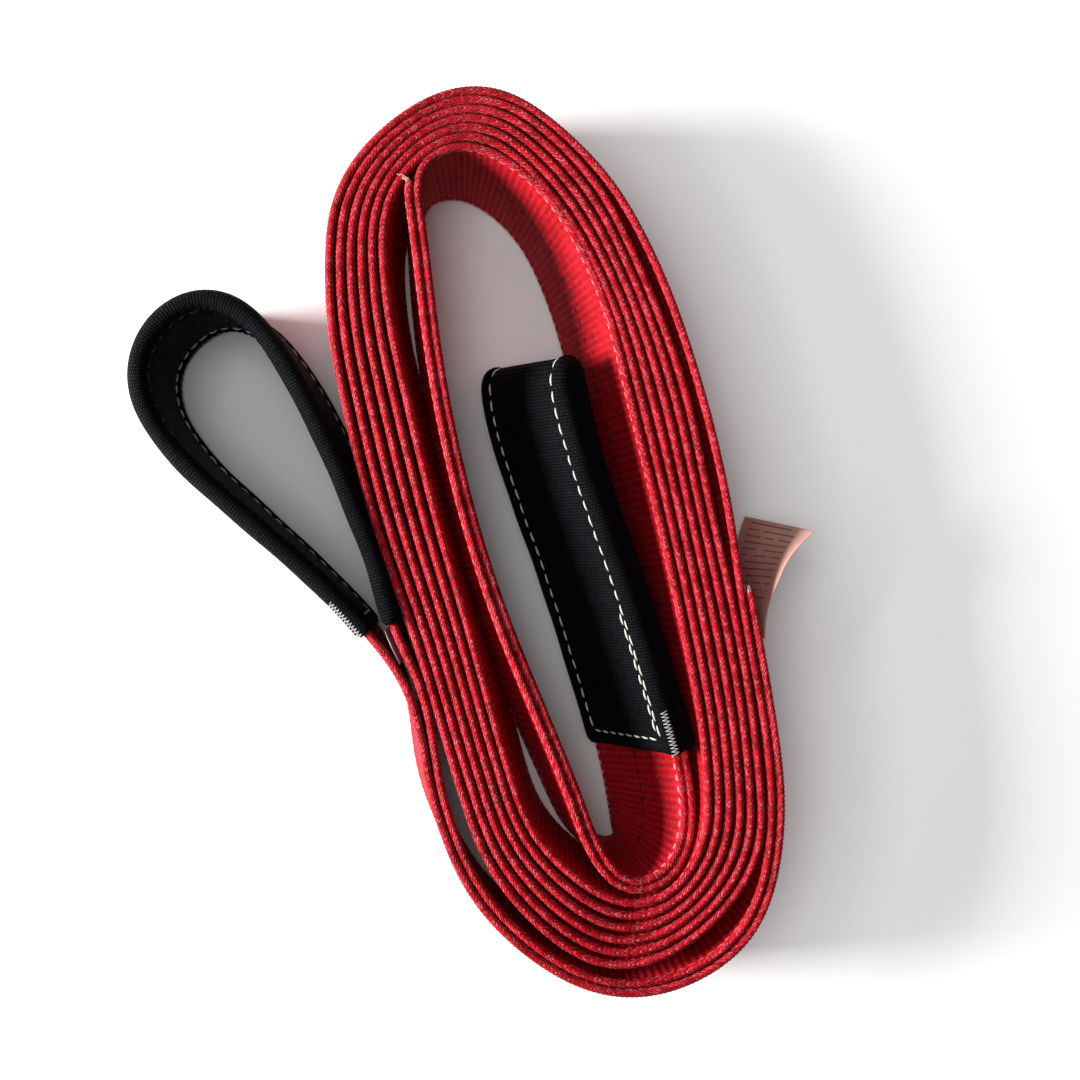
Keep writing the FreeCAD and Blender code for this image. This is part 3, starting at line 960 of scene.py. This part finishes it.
@dataclass
class Palette:
    """The finishes, each made once."""

    web: bpy.types.Material = field(default_factory=lambda: WebFinish().material())
    sleeve: bpy.types.Material = field(default_factory=lambda: SleeveFinish().material())
    white: bpy.types.Material = field(default_factory=lambda: ThreadFinish(
        "white_thread", (0.74, 0.71, 0.67), (0.38, 0.35, 0.31)).material())
    cream: bpy.types.Material = field(default_factory=lambda: ThreadFinish(
        "cream_thread", (0.70, 0.52, 0.38), (0.42, 0.22, 0.15)).material())
    tag: bpy.types.Material = field(default_factory=lambda: TagFinish().material())
    tape: bpy.types.Material = field(default_factory=lambda: TapeFinish().material())

    def dress(self, piece: bpy.types.Object, material: bpy.types.Material, slot: str, *nodes: str) -> None:
        """Gives a piece its finish, hides the CAD nodes that it stands for and logs its face count.

        Args:
            piece: the piece.
            material: its finish.
            slot: not used.
            nodes: the CAD nodes that it replaces.
        """
        piece.data.materials.append(material)
        if nodes:
            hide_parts(*nodes)
        LOG.info("%s: %d faces", piece.name, len(piece.data.polygons))

    def sew(self, name: str, made: list, around: np.ndarray, thread: bpy.types.Material, slot: str, body: str,
            *nodes: str) -> None:
        """Joins threads into one piece that rides on a body.

        Args:
            name: the piece's name.
            made: pairs of rings and lengths.
            around: cloth coordinate round a thread.
            thread: its finish.
            slot: the record's material slot.
            body: the body that it rides on.
            nodes: the CAD nodes that it replaces.
        """
        rings, along = (np.concatenate(parts) for parts in zip(*made))
        piece = Shape.tubes(name, rings, along, around)
        self.dress(piece, thread, slot, *nodes)
        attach(piece, body)


@dataclass(frozen=True)
class Fray:
    """Loose yarns at a web's cut end: some start at its top corner and the others below it."""

    seed: int
    count: int
    at_corner: int
    depth: float  # how far down the others start at most, in millimetres
    way: tuple
    reach: tuple  # least and most length, in millimetres
    bias: tuple  # which way the curls tend
    curl: float  # in millimetres
    radius: float

    def yarns(self, strip: Strip, end: float) -> list:
        """Rings and lengths of the yarns.

        Args:
            strip: the cut web's strip.
            end: the length at the cut.

        Returns:
            One pair for each yarn.
        """
        chance = np.random.default_rng(SEED + self.seed)
        made = []
        for number in range(self.count):
            high = WEB_WIDTH - chance.uniform(0.3, self.depth) * MM * (number >= self.at_corner)
            start = strip.place(end - 0.6 * MM, chance.uniform(-1, 1) * MM, high - 0.5 * MM)
            along = np.array(self.way) * chance.uniform(*self.reach) * MM
            curl = (chance.uniform(-1, 1, 3) + self.bias) * self.curl * MM
            bends = np.stack([along * 0.45, along * 0.9 + curl * 0.5, along + curl * (1, 0.4, 0.4)])
            made.append(yarn(np.asarray(start), bends, self.radius))
        return made


def point(x: float, y: float, z: float = 0.0266) -> tuple:
    """A layout point as a frame point, at a height in metres."""
    return ((x - MIDDLE[0]) * MM, (y - MIDDLE[1]) * MM, z)


class SlingWeb:
    """The sling's web: one route from the inner eye round the coil and the outer eye to the outer tail."""

    def __init__(self, palette: Palette) -> None:
        """Lays out the route and the numbers of the runs where its stretches meet."""
        self.palette = palette
        self.section = WebSection()
        corners = SPLICE + INNER_LOOP[FIRST_TURN_JOINS:]
        self.turn_runs = [SPLICE_END]
        for turn in range(1, EVEN_TURNS):
            share = turn / (EVEN_TURNS - 1)
            self.turn_runs.append(len(corners) - 1)
            corners += [tuple((1 - share) * a + share * b for a, b in zip(*pair))
                        for pair in zip(INNER_LOOP, OUTER_LOOP)]
        self.turn_runs.append(len(corners) - 1)
        tail = self.tail_corners()
        self.eye_first = len(corners) + len(LAST_LOOP)
        corners += LAST_LOOP + OUTER_EYE + TAIL_THROAT + tail
        self.route = Route(layout(corners))
        self.strip = Strip(self.route)
        low = self.route.length_to(self.eye_first - 6)
        self.tip = self.route.nearest(-112, 88, low, self.route.lengths[-1])
        self.throat_body = self.route.nearest(*THROAT_BACK, low, self.tip)
        self.throat_tail = self.route.nearest(*THROAT_BACK, self.tip, self.tip + 0.3)

    @staticmethod
    def tail_corners() -> list:
        """Corners beside the last loop, from the outer throat back to the tail's cut end.

        Each is moved out along the bisector of its two runs, by the offset over the cosine of half the turn.

        Returns:
            Rows of (x, y, lean, slip).
        """
        loop = np.array(LAST_LOOP, float)
        before, corner, after = loop[:-2, :2], loop[1:-1, :2], loop[2:, :2]
        first = (corner - before) / np.linalg.norm(corner - before, axis=1, keepdims=True)
        second = (after - corner) / np.linalg.norm(after - corner, axis=1, keepdims=True)
        summed = np.stack([-(first + second)[:, 1], (first + second)[:, 0]], -1)
        moved = corner + 2 * TAIL_OFFSET * summed / (summed ** 2).sum(axis=1, keepdims=True)
        rows = np.column_stack([moved, -loop[1:-1, 2], 0 * loop[1:-1, 2]])
        beside = rows[TAIL_CORNERS[0]:TAIL_CORNERS[1] - 1]
        return [tuple(row) for row in beside[::-1]] + [TAIL_START]

    def build(self) -> None:
        """Builds the coil's turns, the outer eye's web and the outer tail."""
        runs = [self.route.length_to(run) for run in self.turn_runs] + [self.throat_body]
        for number, (low, high) in enumerate(zip(runs, runs[1:]), start=1):
            piece = self.section.surface(f"web_turn_{number}", self.strip, low, high)
            self.palette.dress(piece, self.palette.web, "red_web", f"coil_turn_{number}")
            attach(piece, "root")
        loop = self.section.surface("web_outer_eye", self.strip, self.throat_body, self.throat_tail)
        self.palette.dress(loop, self.palette.web, "red_web", "outer_eye_web")
        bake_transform(loop)
        end = self.route.lengths[-1]
        tail = self.section.surface("web_outer_tail", self.strip, self.throat_tail, end)
        self.palette.dress(tail, self.palette.web, "red_web", "outer_tail")
        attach(tail, "root")

    def splice_rows(self, name: str, low: float, high: float, heights: np.ndarray, seed: int,
                    node: str) -> None:
        """Rows of stitches that hold two plies together.

        Args:
            name: the piece's name.
            low: the length that the rows start at.
            high: the length that they end at.
            heights: the rows' heights.
            seed: the first row's seed.
            node: the CAD node that they replace.
        """
        row = StitchRow(length=5.0 * MM, pitch=7.4 * MM, radius=0.38 * MM)
        centres = np.arange(low, high, row.pitch)
        made = [row.tubes(self.strip, centres, SPLICE_FACE, height, seed + n)
                for n, height in enumerate(heights)]
        self.palette.sew(name, made, row.around(), self.palette.cream, "cream_thread", "root", node)


class InnerSplice:
    """The inner throat: the body's web and the inner tail that is sewn on it."""

    def __init__(self, sling: SlingWeb, palette: Palette) -> None:
        """Keeps the sling's route and sets the tail beside it."""
        self.sling, self.palette = sling, palette
        self.end = sling.route.length_to(SPLICE_END)
        self.tail = Strip(sling.route, offset=self.apart)

    @staticmethod
    def apart(along: np.ndarray) -> np.ndarray:
        """How far the tail lies from the body's web: more at the throat, where the eye's limbs spread."""
        return PLY_PITCH + 2.8 * MM * (1 - smooth(12 * MM, 34 * MM, along))

    def build(self) -> None:
        """Builds both plies, the rows of stitches and the frayed end."""
        body = self.sling.section.surface("web_inner_splice", self.sling.strip, 0.004, self.end)
        self.palette.dress(body, self.palette.web, "red_web", "inner_splice_web")
        tail = self.sling.section.surface("web_inner_tail", self.tail, 0.004, self.end)
        self.palette.dress(tail, self.palette.web, "red_web", "inner_tail")
        for piece in (body, tail):
            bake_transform(piece)
        heights = np.array([6.0, 20.0, 34.0, 46.6]) * MM
        self.sling.splice_rows("splice_stitches_inner", 118 * MM, self.end - 5 * MM, heights, 0,
                               "inner_splice_stitching")
        fray = Fray(seed=20, count=9, at_corner=4, depth=12, way=(-0.35, 0.75, 0.15), reach=(2.5, 6.0),
                    bias=(-0.8, -0.5, 0.0), curl=2.4, radius=0.30 * MM)
        self.palette.sew("frayed_yarns_inner", fray.yarns(self.tail, self.end), FRAY_AROUND,
                         self.palette.cream, "cream_thread", "root", "inner_tail_frayed_thread")


class EyeSleeve:
    """A wear sleeve on an eye, with its seams."""

    OVERLOCK = 18 * MM

    def __init__(self, eye: str, strip: Strip, low: float, high: float, palette: Palette, seed: int) -> None:
        """Keeps the sleeve's strip and its two ends.

        Args:
            eye: the eye's name, which is its body's name.
            strip: the strip of the eye's web.
            low: the sleeve's start along the strip.
            high: its end.
            palette: the finishes.
            seed: for the stitches' small differences.
        """
        self.eye, self.strip, self.low, self.high = eye, strip, low, high
        self.palette, self.seed = palette, seed
        self.section = SleeveSection()
        self.row = StitchRow()

    def build(self, doubled: float = 0.0) -> None:
        """Builds the sleeve and its threads.

        Args:
            doubled: how much of the upper seam is sewn twice, up to the sleeve's end.
        """
        piece = self.section.surface(f"sleeve_{self.eye}", self.strip, self.low, self.high)
        self.palette.dress(piece, self.palette.sleeve, "black_sleeve", f"{self.eye}_sleeve")
        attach(piece, self.eye)
        length = self.high - self.low
        faces = (self.section.seam + 0.05 * MM, -self.section.seam - 0.05 * MM)
        long_row = np.arange(self.low + 5 * MM, self.high - 5 * MM, self.row.pitch)
        rows = {"lower": SEAM_INSET - SLEEVE_WALL, "upper": WEB_WIDTH + SLEEVE_WALL - SEAM_INSET}
        for number, (name, height) in enumerate(rows.items()):
            made = [self.row.tubes(self.strip, long_row, out, height, self.seed + 2 * number + k)
                    for k, out in enumerate(faces)]
            if doubled and name == "upper":
                extra = long_row[long_row > self.high - doubled] - 2.4 * MM
                made += [self.row.tubes(self.strip, extra, out + math.copysign(0.25 * MM, out),
                                        height - 1.2 * MM, self.seed + 9) for out in faces]
            self.threads(f"stitches_{self.eye}_{name}", made, f"{self.eye}_sleeve_seam_{name}")
        self.cross_rows()
        self.overlock()

    def threads(self, name: str, made: list, node: str) -> None:
        """Joins rings into one piece of white thread that rides on the eye."""
        self.palette.sew(name, made, self.row.around(), self.palette.white, "white_thread", self.eye, node)

    def cross_rows(self) -> None:
        """Rows across the sleeve near its ends: the stitches' long way is up the width."""
        low, high = SEAM_INSET - SLEEVE_WALL, WEB_WIDTH + SLEEVE_WALL - SEAM_INSET
        heights = np.arange(low + 3 * MM, high - 1 * MM, 4.6 * MM)
        made = []
        t, angle = thread_grid(self.row.ring)
        radius = 0.40 * MM * np.sqrt(1 - self.row.TAPER * t ** 2)
        for at in (self.low + 6 * MM, self.high - 6 * MM):
            for hand in (1.0, -1.0):
                up = heights[:, None, None] + t * 1.7 * MM
                arch = self.row.arch * np.cos(t * np.pi / 2) - self.row.sunk
                out = hand * (self.section.face + arch + radius * np.cos(angle))
                along = at + radius * np.sin(angle) + 0.25 * MM * t
                made.append((self.strip.place(along, out, up + 0 * angle), up[:, :, 0]))
        self.threads(f"stitches_{self.eye}_cross", made, f"{self.eye}_sleeve_cross_seams")

    def overlock(self) -> None:
        """Overlocking by the throat.

        A thread goes to and fro over the upper fold of the limb at the sleeve's end, and over the lower
        fold of the other limb. Its legs cross the fold, one after the other slanting each way.
        """
        t, angle = thread_grid(5)
        legs = np.arange(0.8 * MM, self.OVERLOCK, 0.7 * MM)[:, None, None]
        slant = np.where(np.arange(legs.size) % 2, 1, -1)[:, None, None]
        top = WEB_WIDTH + SLEEVE_WALL
        made = []
        folds = ((self.high, -1, top - self.section.fold, 90),
                 (self.low, 1, self.section.fold - SLEEVE_WALL, -90))
        for edge, inward, hub, turn in folds:
            sweep = np.radians(turn - 40 * inward * np.sign(turn) + 21 * t)
            radius = 0.13 * MM * np.sqrt(1 - 0.6 * t ** 2)
            reach = self.section.fold + 0.10 * MM + radius * np.cos(angle)
            along = edge + inward * (legs + slant * t * 0.4 * MM) + radius * np.sin(angle)
            made.append((self.strip.place(along, reach * np.cos(sweep), hub + reach * np.sin(sweep)),
                         np.broadcast_to(legs[:, :, 0] + t[:, :, 0] * 2.4 * MM, (legs.size, t.size))))
        self.palette.sew(f"overlock_{self.eye}", made, np.linspace(0, 1.3 * MM, 6), self.palette.white,
                         "white_thread", self.eye, f"{self.eye}_sleeve_overlock")


class OuterEye:
    """The loose eye beside the coil."""

    def __init__(self, sling: SlingWeb, palette: Palette) -> None:
        """Puts the sleeve on the sling's route between the two sides of the throat."""
        raised = Strip(sling.route, lift=SLEEVE_WALL)
        low = sling.route.nearest(-29.5, -30.0, sling.throat_body, sling.tip)
        high = sling.route.nearest(-38.5, -33.8, sling.tip, sling.throat_tail)
        self.sleeve = EyeSleeve("outer_eye", raised, low, high, palette, seed=40)

    def build(self) -> None:
        """Builds the sleeve and its threads."""
        self.sleeve.build()


class InnerEye:
    """The flattened eye that leans inside the coil."""

    def __init__(self, palette: Palette) -> None:
        """Stands the eye's route on its corner, turned and leaned as its solids are."""
        self.palette = palette
        limb = (SLEEVE_CAD_THICKNESS + INNER_EYE_GAP) / 2
        middle = -(SLEEVE_CAD_THICKNESS + limb)
        tip = INNER_EYE_LENGTH - SLEEVE_CAD_THICKNESS / 2 + 3
        right, left = middle + limb - 0.3, middle - limb + 0.3
        bulge = 0.9
        rows = [(right, 0), (right, 40), (right - 1, 76), (right - 3.6, 108), (right - 3.6 + bulge, tip - 18),
                (right - 1 + bulge, tip - 3), (middle + 0.6 * limb, tip + 1.2),
                (middle - 0.6 * limb, tip + 1.2), (left - 1 - bulge, tip - 3), (left - 3.6 - bulge, tip - 18),
                (left - 3.6, 108), (left - 1, 76), (left, 40), (left, 0)]
        corners = np.array([(x * MM, y * MM, 0.0, 0.0) for x, y in rows])
        yaw, lean = math.radians(INNER_EYE_YAW), math.radians(INNER_EYE_LEAN)
        turn = np.array([[math.cos(yaw), -math.sin(yaw), 0], [math.sin(yaw), math.cos(yaw), 0], [0, 0, 1]])
        tilt = np.array([[math.cos(lean), 0, math.sin(lean)], [0, 1, 0],
                         [-math.sin(lean), 0, math.cos(lean)]])
        skew = np.eye(3)
        skew[1, 2] = -INNER_EYE_SKEW
        stand = np.eye(4)
        stand[:3, :3] = turn @ skew @ tilt
        stand[:3, 3] = point(*INNER_EYE_CORNER, 0.0)
        self.strip = Strip(Route(corners, 1.2 * MM), lift=SLEEVE_WALL, stand=stand)
        self.length = float(self.strip.route.lengths[-1])
        self.sleeve = EyeSleeve("inner_eye", self.strip, 1 * MM, self.length - 2 * MM, palette, seed=60)

    def build(self) -> None:
        """Builds the eye's web, its sleeve and threads, and a knot on the seam."""
        web = WebSection().surface("web_inner_eye", self.strip, 14 * MM, self.length - 14 * MM)
        self.palette.dress(web, self.palette.web, "red_web", "inner_eye_web")
        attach(web, "inner_eye")
        self.sleeve.build(doubled=54 * MM)
        self.knot()

    def knot(self) -> None:
        """A small knot of thread ends where the sewing of the upper seam starts."""
        chance = np.random.default_rng(SEED + 30)
        at = self.length - 56 * MM
        parts = []
        for _ in range(9):
            start = self.strip.place(at + chance.uniform(-1, 1) * MM, self.sleeve.section.face,
                                     WEB_WIDTH - SEAM_INSET + chance.uniform(-0.5, 1.5) * MM)
            bends = chance.uniform(-1, 1, (3, 3)) * 1.9 * MM + np.array([-0.4, 0.1, 0.9]) * MM
            parts.append(yarn(np.asarray(start), bends, 0.22 * MM))
        self.palette.sew("thread_knot_inner_eye", parts, np.linspace(0, 1.4 * MM, 6), self.palette.cream,
                         "cream_thread", "inner_eye")


class OuterTail:
    """What is sewn to the outer tail: the splice's stitches, its frayed end, the tag and the label."""

    def __init__(self, sling: SlingWeb, palette: Palette) -> None:
        """Keeps the sling's route."""
        self.sling, self.palette = sling, palette

    def build(self) -> None:
        """Builds the stitches, the frayed end, the label and the tag."""
        strip, end = self.sling.strip, float(self.sling.route.lengths[-1])
        heights = np.linspace(SEAM_INSET - 2 * MM, WEB_WIDTH - SEAM_INSET + 2 * MM, 4)
        self.sling.splice_rows("splice_stitches_outer", self.sling.throat_tail + 130 * MM, end - 8 * MM,
                               heights, 80, "outer_splice_stitching")
        fray = Fray(seed=50, count=7, at_corner=3, depth=14, way=(-0.2, 1.0, 0.1), reach=(1.5, 3.5),
                    bias=(0.0, 0.0, 0.0), curl=1.3, radius=0.22 * MM)
        self.palette.sew("frayed_yarns_outer", fray.yarns(strip, end), FRAY_AROUND, self.palette.cream,
                         "cream_thread", "root", "outer_tail_frayed_thread")
        self.label(strip)
        self.tag()

    def leaf(self, name: str, strip: Strip, low: float, high: float, bottom: float, top: float, out: float,
             thickness: float, flare: float = 0.0) -> bpy.types.Object:
        """A thin sheet on a strip: a flat loop of section points with rounded corners carried along it.

        Args:
            name: the piece's name.
            strip: the strip that it lies in.
            low: its start along the strip.
            high: its end.
            bottom: its lower edge.
            top: its upper edge.
            out: how far its middle lies from the strip's.
            thickness: its thickness.
            flare: how far it stands off towards its upper edge, over its height.

        Returns:
            The piece.
        """
        up = np.linspace(bottom, top, 16)
        half = thickness / 2
        side = np.column_stack([np.full(len(up), half), up])
        section = np.vstack([side, [(0, top + half)], side[::-1] * (-1, 1), [(0, bottom - half)]])
        section[:, 0] += flare * (section[:, 1] - bottom)
        along = np.linspace(low, high, max(10, int((high - low) / MM)))[:, None]
        rings = strip.place(along, out + section[:, 0], section[:, 1])
        around = np.concatenate([section[:, 1], section[:1, 1]])
        return Shape.tubes(name, rings[None], along[None, :, 0] - low, around)

    def label(self, strip: Strip) -> None:
        """The blank strip of tape in the throat, on the side of the web that faces the tail."""
        low = self.sling.route.nearest(-22.0, -44.0, self.sling.throat_body - 0.05, self.sling.tip)
        high = low + 14 * MM
        piece = self.leaf("throat_tape", strip, low, high, 28 * MM, 49 * MM, 1.95 * MM, 0.3 * MM, 0.09)
        self.palette.dress(piece, self.palette.tape, "label_tape", "throat_label")
        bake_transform(piece)

    def tag(self) -> None:
        """The tag: its lower edge stays by the coil and its upper edge curls away towards its free end."""
        strip = Strip(Route(layout(TAG_EDGE), 2 * MM), width=TAG_WIDTH, held=0.0,
                      lift=(WEB_WIDTH - TAG_WIDTH) / 2)
        length = float(strip.route.lengths[-1])
        piece = self.leaf("blank_tag", strip, 0, length, 0, TAG_WIDTH, 0, 0.35 * MM)
        self.palette.dress(piece, self.palette.tag, "tag_cloth", "rating_tag")
        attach(piece, "tag")
        row = StitchRow(length=2.4 * MM, pitch=3.2 * MM, radius=0.24 * MM)
        heights = np.arange(3 * MM, TAG_WIDTH - 2 * MM, row.pitch)
        t, angle = thread_grid(row.ring)
        radius = row.radius * np.sqrt(1 - row.TAPER * t ** 2)
        up = heights[:, None, None] + t * row.length / 2 + 0 * angle
        out = -0.18 * MM - 0.15 * MM * np.cos(t * np.pi / 2) + radius * np.cos(angle)
        rings = strip.place(4 * MM + radius * np.sin(angle) + 0 * up, out + 0 * up, up)
        self.palette.sew("tag_stitches", [(rings, up[:, :, 0])], row.around(), self.palette.white,
                         "white_thread", "tag", "tag_stitching")


# ---------------------------------------------------------------------- studio


@dataclass
class Studio:
    """Floor, lights and camera."""

    height: float = 0.5576
    tilt: float = 3.9
    lens: float = 44.0
    sensor: float = 36.0
    eye: tuple = (-0.0109, 0.0019)
    sky: float = 0.02
    floor_half: float = 4.0
    floor_cells: int = 8
    floor_drop: float = 0.2 * MM

    def build(self) -> None:
        """Builds the floor, the lights, the world and the camera."""
        self.floor()
        self.light("key", (-1.20, -0.02, 0.46), 0.45, 48.0, (1.0, 0.98, 0.96))
        self.light("top", (-0.30, 0.10, 1.5), 0.9, 8.0, (1.0, 1.0, 1.0))
        world = bpy.data.worlds.new("studio")
        world.use_nodes = True
        background = world.node_tree.nodes["Background"]
        background.inputs["Color"].default_value = (1.0, 1.0, 1.0, 1.0)
        background.inputs["Strength"].default_value = self.sky
        bpy.context.scene.world = world
        bpy.context.scene.view_settings.view_transform = "Standard"
        camera = bpy.data.objects.new("camera", bpy.data.cameras.new("camera"))
        camera.data.lens = self.lens
        camera.data.sensor_width = self.sensor
        camera.data.clip_start = 0.01
        camera.location = (*self.eye, self.height)
        camera.rotation_euler = (0, -math.radians(self.tilt), 0)
        bpy.context.scene.collection.objects.link(camera)
        bpy.context.scene.camera = camera
        LOG.info("studio ready")

    def floor(self) -> None:
        """A wide flat floor as a grid."""
        lines = self.floor_cells + 1
        side = np.linspace(-self.floor_half, self.floor_half, lines)
        x, y = np.meshgrid(side, side, indexing="ij")
        points = np.stack([x, y, np.full_like(x, -self.floor_drop)], -1).reshape(-1, 3)
        cells = np.arange(self.floor_cells)
        i, j = (a.ravel() for a in np.meshgrid(cells, cells, indexing="ij"))
        faces = np.stack([i * lines + j, (i + 1) * lines + j, (i + 1) * lines + j + 1, i * lines + j + 1], -1)
        plane = Shape.mesh("floor", points, faces, points[faces][..., :2])
        plane.data.materials.append(FloorFinish().material())

    @staticmethod
    def light(name: str, place: tuple, size: float, power: float, colour: tuple) -> None:
        """A square soft light that faces the middle of the sling.

        Args:
            name: the light's name.
            place: where it is.
            size: its side.
            power: its power in watts.
            colour: its colour.
        """
        lamp = bpy.data.lights.new(name, "AREA")
        lamp.size, lamp.energy, lamp.color = size, power, colour
        made = bpy.data.objects.new(name, lamp)
        made.location = place
        away = np.array(place) - (0, 0, 0.03)
        flat = math.hypot(away[0], away[1])
        made.rotation_euler = (math.atan2(flat, away[2]), 0, math.atan2(away[1], away[0]) + math.pi / 2)
        bpy.context.scene.collection.objects.link(made)


def main() -> None:
    """Builds the sling piece by piece."""
    logging.basicConfig(level=logging.INFO, format="%(message)s")
    palette = Palette()
    sling = SlingWeb(palette)
    sling.build()
    InnerSplice(sling, palette).build()
    OuterEye(sling, palette).build()
    InnerEye(palette).build()
    OuterTail(sling, palette).build()
    Studio().build()


if __name__ == "__main__":
    main()
